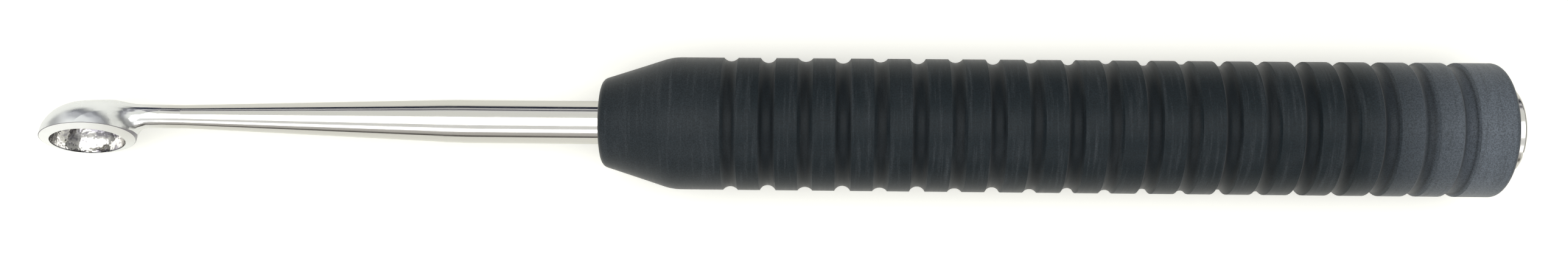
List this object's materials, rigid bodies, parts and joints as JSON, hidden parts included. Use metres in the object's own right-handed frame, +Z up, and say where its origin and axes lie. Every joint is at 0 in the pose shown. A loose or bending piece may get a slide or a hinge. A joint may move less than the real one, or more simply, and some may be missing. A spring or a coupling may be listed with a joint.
{
  "type": "cup curette",
  "caption": "Surgical cup curette: a round sharp-edged steel cup on a slim tapered neck and shaft, with a thick ring-grooved soft handle held on by a domed slotted screw.",
  "frame": {"origin": "centre of the footprint, on the surface that the handle lies on", "axes": "+X from the cup to the butt of the handle, +Z up; the cup opens towards -Y and a little up"},
  "size_m": [0.2444, 0.022, 0.022],
  "materials": {
    "steel": "polished",
    "silicone": "matte",
    "screw_steel": "polished"
  },
  "bodies": {
    "root": {"curette": "steel", "handle_grip": "silicone", "end_screw": "screw_steel"}
  },
  "joints": []
}
